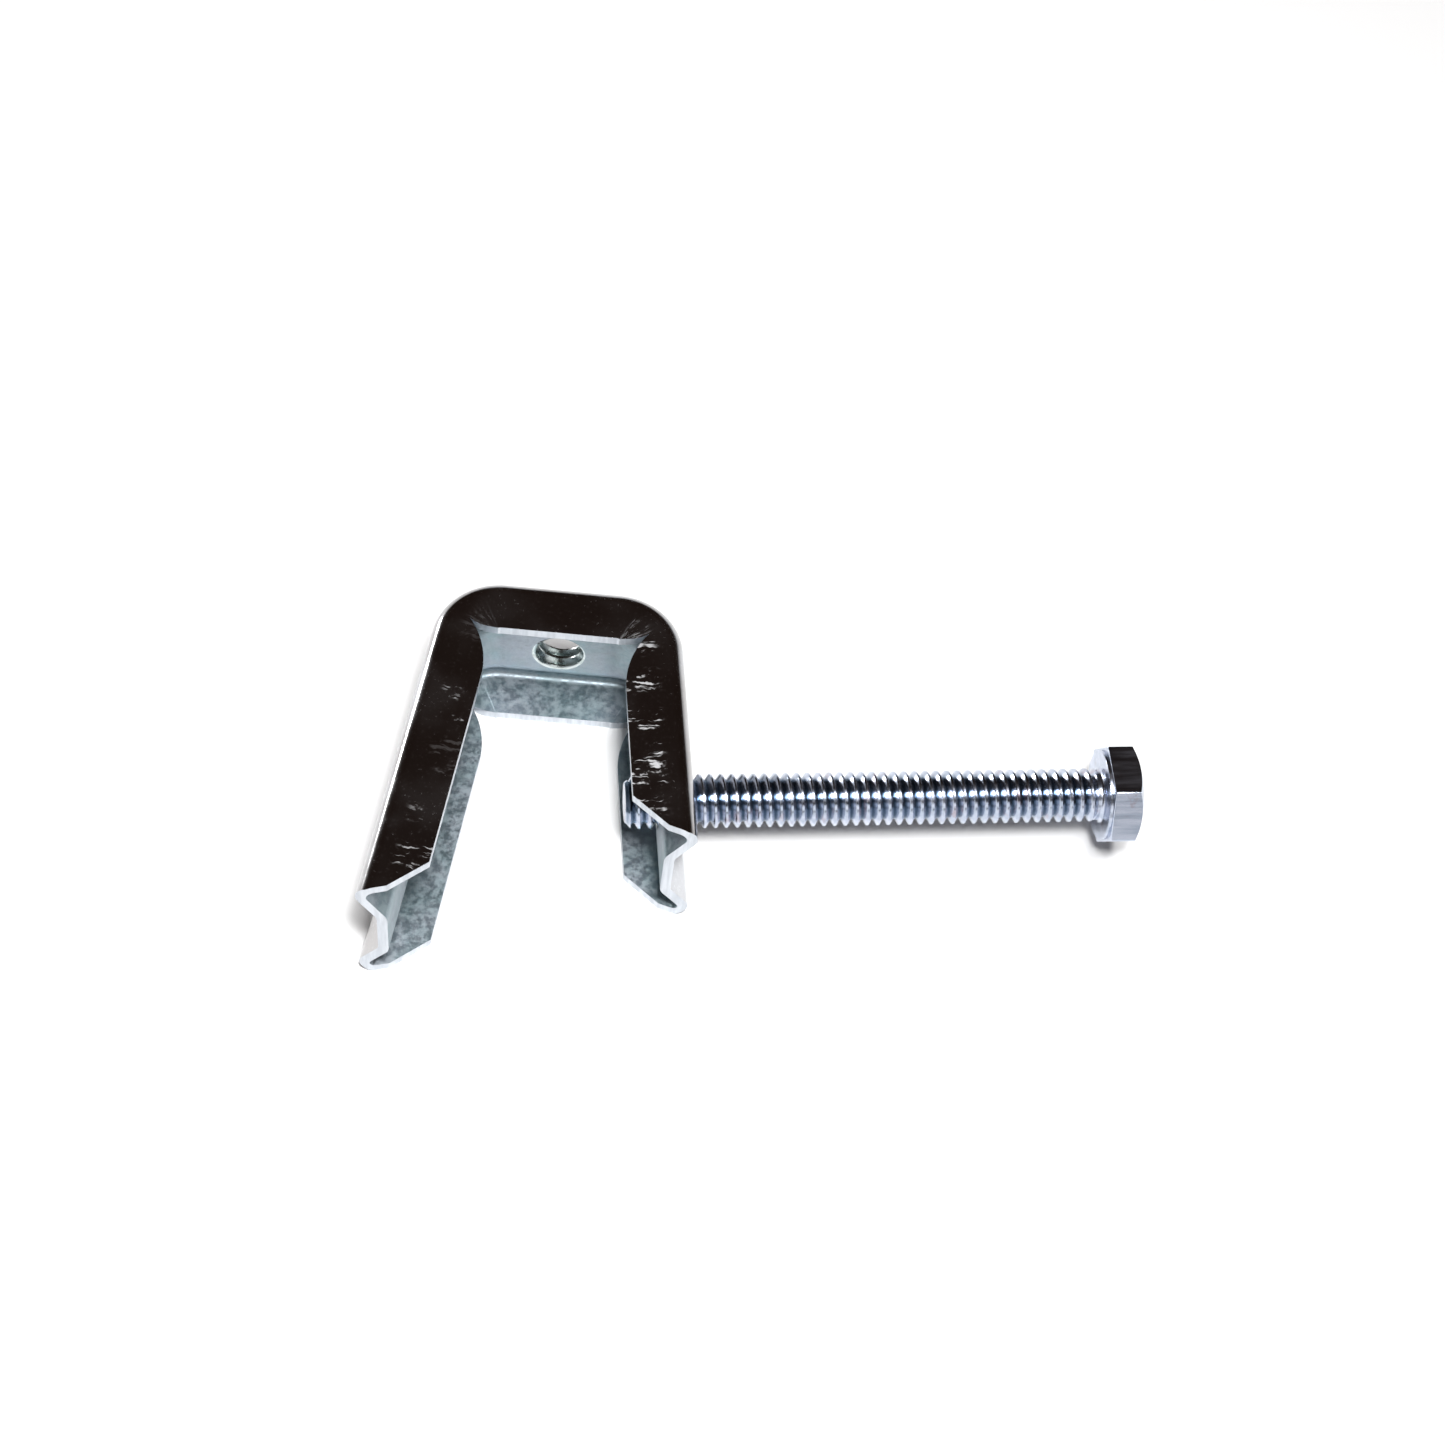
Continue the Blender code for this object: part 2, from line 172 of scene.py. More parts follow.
class Finish:
    """A bare metal and the nodes of its pattern."""

    def __init__(self, name, colour, roughness):
        self.material = bpy.data.materials.new(name)
        self.material.use_nodes = True
        self.nodes = self.material.node_tree.nodes
        self.shader = self.nodes["Principled BSDF"]
        self.shader.inputs["Base Color"].default_value = (*colour, 1.0)
        self.shader.inputs["Metallic"].default_value = 1.0
        self.shader.inputs["Roughness"].default_value = roughness

    def add(self, kind, inputs=None, **settings):
        node = self.nodes.new("ShaderNode" + kind)
        for key, value in settings.items():
            setattr(node, key, value)
        for key, value in (inputs or {}).items():
            self.set(node.inputs[key], value)
        return node

    def set(self, socket, value):
        """Give a socket a plain value, or link it to another node's output."""
        if isinstance(value, bpy.types.NodeSocket):
            self.material.node_tree.links.new(value, socket)
        else:
            socket.default_value = value

    def place(self):
        """Where a point is on the piece, in metres."""
        return self.add("TexCoord").outputs["Object"]

    def along_strip(self):
        """Where a point is on the strip, in millimetres: along it, inward from its outer face, up."""
        return self.add("Attribute", attribute_name="along_strip").outputs["Vector"]

    def noise(self, where, scale, detail=4.0, roughness=0.55, stretch=(1, 1, 1), shift=(0, 0, 0)):
        mapping = self.add("Mapping", {"Vector": where, "Scale": stretch, "Location": shift})
        texture = self.add("TexNoise", {
            "Vector": mapping.outputs["Vector"], "Scale": scale, "Detail": detail, "Roughness": roughness,
        })
        return texture.outputs["Fac"]

    def band(self, value, low, high, out_low=0.0, out_high=1.0):
        """Stretch a value between two levels to a new range, smoothly, and clip it there."""
        node = self.add("MapRange", {
            "Value": value, "From Min": low, "From Max": high, "To Min": out_low, "To Max": out_high,
        }, interpolation_type="SMOOTHSTEP")
        return node.outputs["Result"]

    def sum(self, first, second, operation="ADD"):
        node = self.add("Math", {0: first, 1: second}, operation=operation)
        return node.outputs["Value"]

    def vector(self, operation, inputs):
        return self.add("VectorMath", inputs, operation=operation).outputs["Vector"]

    def axis(self, vector, name):
        return self.add("SeparateXYZ", {"Vector": vector}).outputs[name]

    def blend(self, amount, first, second):
        """One colour turning into another."""
        node = self.add("Mix", data_type="RGBA")
        for socket, value in (("Factor", amount), (6, first), (7, second)):
            self.set(node.inputs[socket], (*value, 1.0) if isinstance(value, tuple) else value)
        return node.outputs[2]

    def bump(self, height, strength, distance):
        node = self.add("Bump", {"Height": height, "Strength": strength, "Distance": distance})
        self.set(self.shader.inputs["Normal"], node.outputs["Normal"])

    def colour(self, value):
        self.set(self.shader.inputs["Base Color"], value)

    def roughness(self, value):
        self.set(self.shader.inputs["Roughness"], value)


def scuffed(metal, strip):
    """How scuffed the outer face is: rows of short marks across it, on some stretches of the strip."""
    along = metal.axis(strip, "X")
    where = 0.0
    for start, end, strength in SCUFFED_STRETCHES:
        rise = metal.band(along, start - SCUFF_FADE, start + SCUFF_FADE)
        fall = metal.band(along, end - SCUFF_FADE, end + SCUFF_FADE, strength, 0.0)
        where = metal.sum(metal.sum(rise, fall, "MULTIPLY"), where, "MAXIMUM")
    warp = metal.noise(strip, 0.7, 2.0)
    shove = metal.vector("SCALE", {0: (1.2, 0.0, 0.0), "Scale": warp})
    lean = metal.vector("ADD", {0: strip, 1: shove})
    lines = metal.noise(lean, 1.0, 2.0, 0.5, (2.6, 0.24, 0.05))
    breaks = metal.noise(strip, 1.0, 3.0, 0.6, (0.6, 0.5, 0.05), (5.0, 2.0, 0.0))
    marks = metal.sum(metal.band(lines, 0.5, 0.6), metal.band(breaks, 0.42, 0.58), "MULTIPLY")
    inward = metal.band(metal.axis(strip, "Y"), 2.4, 4.0)
    marks = metal.sum(metal.sum(marks, where, "MULTIPLY"), inward, "MULTIPLY")
    speckle = metal.band(metal.noise(strip, 2.2, 6.0, 0.75), 0.52, 0.72, 0.0, 0.4)
    return metal.sum(marks, speckle, "MAXIMUM")


def rolled_zinc():
    """The strip's outer face: bright and smooth, scuffed across the flanges by the press rollers."""
    metal = Finish("rolled zinc", (0.5, 0.49, 0.48), 0.14)
    marks = scuffed(metal, metal.along_strip())
    tarnish = metal.band(metal.noise(metal.place(), 90.0, 3.0), 0.35, 0.65)
    clean = metal.blend(tarnish, (0.40, 0.39, 0.39), (0.50, 0.51, 0.53))
    metal.colour(metal.blend(marks, clean, (0.85, 0.86, 0.88)))
    scuffed_roughness = metal.band(marks, 0.0, 1.0, 0.14, 0.55)
    metal.roughness(metal.sum(scuffed_roughness, metal.band(tarnish, 0, 1, 0.0, 0.05)))
    metal.bump(metal.noise(metal.place(), 700.0, 3.0), 0.12, 0.05 * MM)
    return metal.material


def dull_zinc():
    """The strip's inner face: a dull, mottled blue-grey, with greener clouds scattered at random."""
    metal = Finish("dull zinc", (0.36, 0.40, 0.43), 0.55)
    place = metal.place()
    mottle = metal.band(metal.noise(place, 1100.0, 8.0, 0.75), 0.38, 0.62)
    cloud = metal.band(metal.noise(place, 150.0, 6.0, 0.65), 0.36, 0.66, 0.0, 0.8)
    grey = metal.blend(mottle, (0.27, 0.30, 0.34), (0.42, 0.46, 0.50))
    metal.colour(metal.blend(cloud, grey, metal.blend(mottle, (0.20, 0.28, 0.30), (0.31, 0.40, 0.42))))
    metal.roughness(metal.band(mottle, 0.0, 1.0, 0.44, 0.64))
    metal.bump(metal.noise(place, 1500.0, 4.0), 0.25, 0.06 * MM)
    return metal.material


def sheared_zinc():
    """The cut edges: bright, with fine streaks through the sheet's thickness."""
    metal = Finish("sheared edge zinc", (0.75, 0.77, 0.80), 0.4)
    place = metal.place()
    streaks = metal.noise(place, 1200.0, 3.0, 0.6, (1, 1, 0.1))
    metal.colour(metal.blend(metal.band(streaks, 0.35, 0.65), (0.46, 0.49, 0.53), (0.60, 0.63, 0.67)))
    metal.roughness(metal.band(streaks, 0.3, 0.7, 0.38, 0.48))
    metal.bump(streaks, 0.25, 0.05 * MM)
    return metal.material


def tapped_zinc():
    """The threads cut in both collars."""
    metal = Finish("tapped thread zinc", (0.5, 0.56, 0.55), 0.26)
    spots = metal.noise(metal.place(), 500.0, 4.0)
    metal.colour(metal.blend(metal.band(spots, 0.4, 0.6), (0.40, 0.46, 0.45), (0.62, 0.67, 0.67)))
    metal.roughness(metal.band(spots, 0.35, 0.65, 0.2, 0.36))
    return metal.material


def bolt_zinc():
    """Bright blue-white plate, drawn into faint streaks along the bolt, with brown stains, and painted
    shade darkening the thread roots.
    """
    metal = Finish("bolt zinc", (0.50, 0.53, 0.60), 0.24)
    place = metal.place()
    streaks = metal.noise(place, 900.0, 3.0, 0.6, (0.12, 1, 1))
    stains = metal.band(metal.noise(place, 330.0, 4.0, 0.6), 0.56, 0.70, 0.0, 0.7)
    bright = metal.blend(metal.band(streaks, 0.35, 0.65), (0.36, 0.41, 0.50), (0.50, 0.54, 0.64))
    stained = metal.blend(stains, bright, (0.34, 0.27, 0.30))
    # Painted shade: the thread roots are darkened to a dark blue-grey, as if the grooves were in shade; the
    # plain ends past the thread are left out of it.
    from_axis = metal.vector("ADD", {0: place, 1: (0.0, 0.0, -HALF_HEIGHT)})
    from_axis = metal.vector("MULTIPLY", {0: from_axis, 1: (0.0, 1.0, 1.0)})
    radius = metal.add("VectorMath", {0: from_axis}, operation="LENGTH").outputs["Value"]
    outside_root_shade = metal.band(radius, THREAD_RADIUS - THREAD_DEPTH, THREAD_RADIUS - 0.3 * THREAD_DEPTH)
    lengthwise = metal.axis(place, "X")
    for end, inside in ((BOLT_TIP_X, 0.3 * MM), (BOLT_TIP_X + BOLT_LENGTH - NECK_LENGTH, -0.3 * MM)):
        outside_root_shade = metal.sum(outside_root_shade, metal.band(lengthwise, end + inside, end), "MAXIMUM")
    # The dark blue-grey here is painted shade in the thread roots, laid under the plate's own streaks and
    # stains.
    metal.colour(metal.blend(outside_root_shade, (0.16, 0.21, 0.28), stained))
    metal.roughness(metal.band(streaks, 0.3, 0.7, 0.16, 0.26))
    metal.bump(streaks, 0.12, 0.05 * MM)
    return metal.material


# ---------------------------------------------------------------- modelling helpers

def only(obj):
    """Deselect everything, then select one object and make it active."""
    bpy.ops.object.select_all(action="DESELECT")
    obj.select_set(True)
    bpy.context.view_layer.objects.active = obj


def edit(obj):
    only(obj)
    bpy.ops.object.mode_set(mode="EDIT")
    bpy.ops.mesh.select_all(action="SELECT")


def leave_edit():
    bpy.ops.object.mode_set(mode="OBJECT")


def bake_place(obj):
    """Move an object's place, turn and scale into its mesh."""
    only(obj)
    bpy.ops.object.transform_apply(location=True, rotation=True, scale=True)


def apply_modifier(obj, kind, name, **settings):
    only(obj)
    modifier = obj.modifiers.new(name, kind)
    for key, value in settings.items():
        setattr(modifier, key, value)
    bpy.ops.object.modifier_apply(modifier=modifier.name)


def cut(obj, cutter, operation="DIFFERENCE"):
    """Apply one Boolean and throw the cutter away."""
    apply_modifier(obj, "BOOLEAN", operation.lower(), operation=operation, solver="MANIFOLD", object=cutter)
    bpy.data.objects.remove(cutter)


def smooth(obj):
    """Smooth the round faces, and keep the large flat ones flat up to their rounded edges."""
    only(obj)
    bpy.ops.object.shade_smooth_by_angle(angle=SMOOTH_ANGLE)
    apply_modifier(obj, "WEIGHTED_NORMAL", "flat faces", mode="FACE_AREA", weight=100, keep_sharp=True)


def draw_to(offset):
    bpy.ops.mesh.extrude_region_move(TRANSFORM_OT_translate={"value": offset})


def draw_line(name, points):
    """A plane merged to one vertex and extruded point by point into a line, left in edit mode."""
    bpy.ops.object.select_all(action="DESELECT")
    bpy.ops.mesh.primitive_plane_add(size=1 * MM)
    obj = bpy.context.object
    obj.name = obj.data.name = name
    bpy.ops.object.mode_set(mode="EDIT")
    bpy.ops.mesh.select_mode(type="VERT")
    bpy.ops.mesh.select_all(action="SELECT")
    bpy.ops.mesh.merge(type="CENTER")
    bpy.ops.transform.translate(value=points[0])
    for here, there in zip(points, points[1:]):
        draw_to(there - here)
    return obj


def arc(centre, radius, start, end, steps):
    """Points of an arc in section, angles in degrees."""
    angles = [radians(start + (end - start) * step / steps) for step in range(steps + 1)]
    return [(centre[0] + radius * cos(a), centre[1] + radius * sin(a)) for a in angles]


def turned(name, profile, sides=ROUND_SIDES):
    """A closed turned solid about +Z: a line of (radius, height) from axis to axis, spun round."""
    obj = draw_line(name, [Vector((radius, 0.0, height)) for radius, height in profile])
    bpy.ops.mesh.select_all(action="SELECT")
    bpy.ops.mesh.spin(steps=sides, angle=2 * pi, center=(0, 0, 0), axis=(0, 0, 1))
    bpy.ops.mesh.select_all(action="SELECT")
    bpy.ops.mesh.remove_doubles(threshold=WELD)
    bpy.ops.mesh.normals_make_consistent(inside=False)
    leave_edit()
    return obj


def prism(name, outline, low, high):
    """A flat cutter: its outline is drawn point by point, filled, and extruded upwards."""
    points = [Vector((x, y, low)) for x, y in outline]
    obj = draw_line(name, points)
    bpy.ops.mesh.select_all(action="SELECT")
    bpy.ops.mesh.edge_face_add()
    draw_to(Vector((0, 0, high - low)))
    bpy.ops.mesh.select_all(action="SELECT")
    bpy.ops.mesh.normals_make_consistent(inside=False)
    leave_edit()
    return obj


def place_along(obj, axis, origin):
    """Turn a piece modelled along +Z to lie along an axis, and move it there."""
    upright = Vector((0, 0, 1))
    basis = Matrix((-upright, upright.cross(axis), axis)).transposed()
    obj.matrix_world = Matrix.Translation(origin) @ basis.to_4x4()
    bake_place(obj)


# ---------------------------------------------------------------- clamp frame

def leg_point(side, inward, along, height=0.0):
    """A point on a leg: inward from its outer face, and along it from the web's outer line."""
    return Vector((
        side * (WEB_WIDTH / 2 + along * sin(SPLAY) - inward * cos(SPLAY)),
        -along * cos(SPLAY) - inward * sin(SPLAY),
        height,
    ))


def half_section(name, up):
    """The strip's outer face in section, from the middle of the rib to the front free edge."""

    def place(inward, height):
        return leg_point(LONG, inward, LONG_LEG, height)

    bend = Vector((BEND_RADIUS, HALF_HEIGHT - BEND_RADIUS))
    rib_edge = Vector((RIB_DEPTH, RIB_FLOOR / 2))
    reach = rib_edge - bend
    last = atan2(reach.y, reach.x) % (2 * pi) - acos(BEND_RADIUS / hypot(*reach))
    slope_end = bend + BEND_RADIUS * Vector((cos(last), sin(last)))
    slope = (slope_end - rib_edge).normalized()
    swing = atan2(-slope.x, slope.y)
    trim = RIB_FILLET * tan(swing / 2)
    obj = draw_line(name, [place(RIB_DEPTH, 0), place(RIB_DEPTH, rib_edge.y - trim)])
    bpy.ops.mesh.spin(
        steps=FILLET_STEPS, angle=swing, axis=up, center=place(RIB_DEPTH - RIB_FILLET, rib_edge.y - trim)
    )
    draw_to(place(*slope_end) - place(*(rib_edge + slope * trim)))
    bpy.ops.mesh.spin(steps=BEND_STEPS, angle=pi / 2 - last, axis=up, center=place(*bend))
    draw_to(place(FLANGE_WIDTH, 0) - place(BEND_RADIUS, 0))
    return obj


def sweep_strip():
    """Extrude and spin the half section round the U, then mirror and thicken it."""
    up = (leg_point(LONG, 0, 0) - leg_point(LONG, 0, 1)).normalized()
    down = (leg_point(SHORT, 0, 1) - leg_point(SHORT, 0, 0)).normalized()
    obj = half_section("clamp_frame_fine", up)
    bpy.ops.mesh.select_all(action="SELECT")
    for _ in range(LEG_CUTS):
        draw_to(up * (LONG_LEG - CORNER_RUN) / LEG_CUTS)
    corner = leg_point(LONG, CORNER_RADIUS, CORNER_RUN)
    bpy.ops.mesh.spin(steps=CORNER_STEPS, angle=TURN, axis=(0, 0, 1), center=corner)
    for _ in range(WEB_CUTS):
        draw_to(Vector(((WEB_WIDTH - 2 * CORNER_RUN) / WEB_CUTS, 0, 0)))
    corner = leg_point(SHORT, CORNER_RADIUS, CORNER_RUN)
    bpy.ops.mesh.spin(steps=CORNER_STEPS, angle=TURN, axis=(0, 0, 1), center=corner)
    for _ in range(LEG_CUTS):
        draw_to(down * (SHORT_LEG - CORNER_RUN) / LEG_CUTS)
    bpy.ops.mesh.select_all(action="SELECT")
    bpy.ops.mesh.remove_doubles(threshold=WELD)
    bpy.ops.mesh.normals_make_consistent(inside=False)
    leave_edit()
    apply_modifier(obj, "MIRROR", "back half", use_axis=(False, False, True), merge_threshold=WELD)
    for metal in (rolled_zinc(), dull_zinc(), sheared_zinc(), tapped_zinc()):
        obj.data.materials.append(metal)
    apply_modifier(
        obj, "SOLIDIFY", "sheet", thickness=SHEET, offset=-1.0, use_even_offset=True,
        material_offset=DULL, material_offset_rim=SHEARED
    )
    return obj


def cut_leg_end(clamp, side, length):
    """Cut the corners off both flanges at a leg's end."""
    slant = (END_CUT_LENGTH - END_CUT_STEP) / (FLANGE_WIDTH - END_CUT_LEVEL)
    flat = (END_CUT_LEVEL - SHEET) / END_CUT_STEP
    outline = [
        leg_point(side, FLANGE_WIDTH + OVERRUN, length - END_CUT_LENGTH - OVERRUN * slant).xy,
        leg_point(side, END_CUT_LEVEL, length - END_CUT_STEP).xy,
        leg_point(side, SHEET - JOIN * flat, length + JOIN).xy,
        leg_point(side, SHEET - JOIN * flat, length + OVERRUN).xy,
        leg_point(side, FLANGE_WIDTH + OVERRUN, length + OVERRUN).xy,
    ]
    reach = HALF_HEIGHT - BEND_RADIUS
    for low, high in ((reach, HALF_HEIGHT + OVERRUN), (-HALF_HEIGHT - OVERRUN, -reach)):
        blade = prism("end_cut", outline, low, high)
        blade.data.materials.append(clamp.data.materials[SHEARED])
        cut(clamp, blade)


def notch_angles(radius, depth, steps):
    """Angles round a shoulder, from just after its start on the flange's edge to the notch's tip."""
    last = acos(1 - depth / radius)
    return [NOTCH_START + (last - NOTCH_START) * step / steps for step in range(steps + 1)]


def cut_corner_relief(clamp, side):
    """Cut both flanges at an inner corner with a V whose two sides are rounded shoulders."""
    tip_inward = FLANGE_WIDTH - NOTCH_INTO_LEG
    tip_along = (FLANGE_WIDTH - NOTCH_INTO_WEB - tip_inward * sin(SPLAY)) / cos(SPLAY)
    around_leg = notch_angles(LEG_SHOULDER_RADIUS, NOTCH_INTO_LEG, 20)
    around_web = notch_angles(WEB_SHOULDER_RADIUS, NOTCH_INTO_WEB, 12)
    leg_start = tip_along + LEG_SHOULDER_RADIUS * sin(around_leg[-1])
    web_start = side * leg_point(side, tip_inward, tip_along).x - WEB_SHOULDER_RADIUS * sin(around_web[-1])
    outline = []
    for angle in around_leg:
        inward = FLANGE_WIDTH - LEG_SHOULDER_RADIUS * (1 - cos(angle))
        outline.append(leg_point(side, inward, leg_start - LEG_SHOULDER_RADIUS * sin(angle)).xy)
    for angle in reversed(around_web[:-1]):
        across = web_start + WEB_SHOULDER_RADIUS * sin(angle)
        outline.append(Vector((side * across, WEB_SHOULDER_RADIUS * (1 - cos(angle)) - FLANGE_WIDTH)))
    outline.insert(0, outline[0] + (outline[0] - outline[1]).normalized() * OVERRUN)
    outline.append(outline[-1] + (outline[-1] - outline[-2]).normalized() * OVERRUN)
    outline.append(leg_point(side, FLANGE_WIDTH + OVERRUN, FLANGE_WIDTH + OVERRUN).xy)
    punch = prism("corner_notch", outline, -HALF_HEIGHT - OVERRUN, HALF_HEIGHT + OVERRUN)
    punch.data.materials.append(clamp.data.materials[SHEARED])
    cut(clamp, punch)


def add_collar(clamp, axis, seat):
    """A collar drawn out behind the rib, with the rounded mouth that the punch leaves inside."""
    foot = -RIB_DEPTH - FOOT_SINK
    top = -COLLAR_INSET
    profile = [(0, foot - JOIN), (COLLAR_RADIUS + COLLAR_FILLET, foot - JOIN)]
    profile += arc((COLLAR_RADIUS + COLLAR_FILLET, foot + COLLAR_FILLET), COLLAR_FILLET, -90, -180, 6)
    profile += arc((COLLAR_RADIUS - COLLAR_LIP, top - COLLAR_LIP), COLLAR_LIP, 0, 90, 4)
    wall = turned("collar_wall", profile + [(0, top)])
    wall.data.materials.append(clamp.data.materials[ROLLED])
    face = -RIB_DEPTH - SHEET
    wide = TAPPED_RADIUS + MOUTH_FLARE
    profile = [(0, face - OVERRUN), (wide + JOIN, face - OVERRUN), (wide + JOIN, face - MOUTH_DIP)]
    profile += arc((wide, face + MOUTH_FLARE), MOUTH_FLARE, -90, -180, 6)
    bore = turned("collar_bore", profile + [(TAPPED_RADIUS, OVERRUN), (0, OVERRUN)])
    bore.data.materials.append(clamp.data.materials[TAPPED])
    for piece, operation in ((wall, "UNION"), (bore, "DIFFERENCE")):
        place_along(piece, axis, seat)
        cut(clamp, piece, operation)


def tap_collar(clamp, axis, origin, low, high):
    """Cut the thread in a collar, as part of one long thread that starts at an origin."""
    first = int(low / THREAD_PITCH) - 1
    turns = int((high - low) / THREAD_PITCH) + 4
    tap = threaded_rod("tap", turns, first * THREAD_PITCH, THREAD_PLAY)
    trim_rod(tap, low, high)
    tap.data.materials.append(clamp.data.materials[TAPPED])
    place_along(tap, axis, origin)
    cut(clamp, tap)


def soften_edges(obj, width):
    """Round the sheared edges a little."""
    apply_modifier(
        obj, "BEVEL", "worn edges", width=width, segments=2, limit_method="ANGLE",
        angle_limit=WORN_ANGLE, use_clamp_overlap=True, material=-1
    )


def record_strip_place(clamp):
    """Keep where each point lies on the strip, in millimetres, for the patterns that follow it."""
    attribute = clamp.data.attributes.new("along_strip", "FLOAT_VECTOR", "POINT")
    half_web = WEB_WIDTH / 2 - CORNER_RUN
    for vertex, entry in zip(clamp.data.vertices, attribute.data):
        x, y, z = vertex.co
        side = SHORT if x > 0 else LONG
        centre = leg_point(side, CORNER_RADIUS, CORNER_RUN)
        out = Vector((side * (x - centre.x), y - centre.y))
        angle = min(max(atan2(out.x, out.y), 0.0), TURN)
        if angle == 0.0:
            along, inward = abs(x), -y
        elif angle == TURN:
            reach = out.x * sin(SPLAY) - out.y * cos(SPLAY)
            along = half_web + TURN * CORNER_RADIUS + reach
            inward = CORNER_RADIUS - out.x * cos(SPLAY) - out.y * sin(SPLAY)
        else:
            along = half_web + angle * CORNER_RADIUS
            inward = CORNER_RADIUS - out.length
        entry.vector = (side * along / MM, inward / MM, z / MM)


def make_clamp_frame():
    """The U of channel, with its end cuts, corner reliefs and tapped collars."""
    clamp = sweep_strip()
    cut_leg_end(clamp, LONG, LONG_LEG)
    cut_leg_end(clamp, SHORT, SHORT_LEG)
    cut_corner_relief(clamp, LONG)
    cut_corner_relief(clamp, SHORT)
    soften_edges(clamp, SHEARED_EDGE)
    record_strip_place(clamp)
    turn = Matrix.Rotation(-SPLAY, 4, "Z")
    shift = -(turn @ leg_point(SHORT, FLANGE_FLAT_MIDDLE, BOLT_ALONG_LEG, -HALF_HEIGHT))
    clamp.matrix_world = Matrix.Translation(shift) @ turn
    bake_place(clamp)
    web_axis = (turn @ Vector((0, 1, 0))).normalized()
    leg_axis = Vector((1, 0, 0))
    leg_seat = Vector((FLANGE_FLAT_MIDDLE, 0, HALF_HEIGHT))
    add_collar(clamp, web_axis, shift)
    add_collar(clamp, leg_axis, leg_seat)
    tap_collar(clamp, web_axis, shift - web_axis * OVERRUN * 3, OVERRUN, OVERRUN * 4)
    tip = Vector((BOLT_TIP_X, 0, HALF_HEIGHT))
    leg_face = FLANGE_FLAT_MIDDLE - BOLT_TIP_X
    tap_collar(clamp, leg_axis, tip, leg_face - OVERRUN * 2, leg_face + OVERRUN)
    smooth(clamp)
    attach(clamp, "frame")
    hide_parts("clamp_frame")


# ---------------------------------------------------------------- bolt

def threaded_rod(name, turns, start, growth=0.0):
    """A right-hand thread along +Z, open at its ends, with its first root at height start."""
    crest = THREAD_RADIUS + growth
    rising = [(0.5 - share / 2, down) for share, down in reversed(THREAD_FLANK)]
    falling = [(0.5 + share / 2, down) for share, down in THREAD_FLANK[1:]]
    obj = draw_line(name, [
        Vector((crest - THREAD_DEPTH * down, 0.0, start + THREAD_PITCH * share))
        for share, down in rising + falling
    ])
    leave_edit()
    apply_modifier(
        obj, "SCREW", "helix", axis="Z", angle=2 * pi, screw_offset=THREAD_PITCH, iterations=turns,
        steps=TURN_STEPS, render_steps=TURN_STEPS, use_merge_vertices=True, merge_threshold=WELD
    )
    return obj


def trim_rod(rod, low, high):
    """Cut a thread flat at two heights, half way between its rows of points, and close its ends."""
    step = THREAD_PITCH / TURN_STEPS
    low, high = ((floor(height / step) + 0.5) * step for height in (low, high))
    edit(rod)
    bpy.ops.mesh.remove_doubles(threshold=WELD)
    for height, direction in ((low, -1), (high, 1)):
        bpy.ops.mesh.select_all(action="SELECT")
        bpy.ops.mesh.bisect(
            plane_co=(0, 0, height), plane_no=(0, 0, direction), clear_outer=True, use_fill=True,
            threshold=WELD / 4
        )
    bpy.ops.mesh.select_all(action="SELECT")
    bpy.ops.mesh.quads_convert_to_tris()
    bpy.ops.mesh.normals_make_consistent(inside=False)
    leave_edit()


def hex_head():
    """The hexagon, its corners towards +Y and -Y, with worn edges and a 30 degree crown."""
    bottom = BOLT_LENGTH + WASHER_FACE_HEIGHT
    top = BOLT_LENGTH + HEAD_HEIGHT
    bpy.ops.object.select_all(action="DESELECT")
    bpy.ops.mesh.primitive_cylinder_add(
        vertices=6, radius=HEAD_ACROSS_FLATS / sqrt(3), depth=top - bottom + JOIN,
        location=(0, 0, (top + bottom + JOIN) / 2)
    )
    head = bpy.context.object
    bake_place(head)
    edit(head)
    bpy.ops.mesh.select_mode(type="EDGE")
    bpy.ops.mesh.bevel(offset=HEAD_EDGE, segments=3, affect="EDGES")
    leave_edit()
    wide = HEAD_ACROSS_FLATS / sqrt(3) + OVERRUN
    flat = HEAD_ACROSS_FLATS / 2 * TOP_FLAT_SHARE
    drop = (wide - flat) * tan(HEAD_CORNER_CUT)
    profile = [(0, bottom - JOIN), (wide, bottom - JOIN), (wide, top - drop)]
    profile += [(flat + HEAD_EDGE, top - HEAD_EDGE * tan(HEAD_CORNER_CUT))]
    profile += [(flat - HEAD_EDGE, top), (0, top)]
    cut(head, turned("crown", profile, 2 * ROUND_SIDES), "INTERSECT")
    return head


def neck_and_washer_face():
    """The plain neck where the thread runs out, the fillet under the head, and the washer face."""
    start = BOLT_LENGTH - NECK_LENGTH
    core = THREAD_RADIUS - THREAD_DEPTH - JOIN
    profile = [(0, start - JOIN), (core, start - JOIN), (NECK_RADIUS, start + NECK_RADIUS - core - JOIN)]
    profile += arc((NECK_RADIUS + NECK_FILLET, BOLT_LENGTH - NECK_FILLET), NECK_FILLET, 180, 90, 6)
    profile += arc((WASHER_FACE_RADIUS - WASHER_LIP, BOLT_LENGTH + WASHER_LIP), WASHER_LIP, -90, 0, 3)
    top = BOLT_LENGTH + WASHER_FACE_HEIGHT + JOIN
    return turned("neck", profile + [(WASHER_FACE_RADIUS, top), (0, top)])


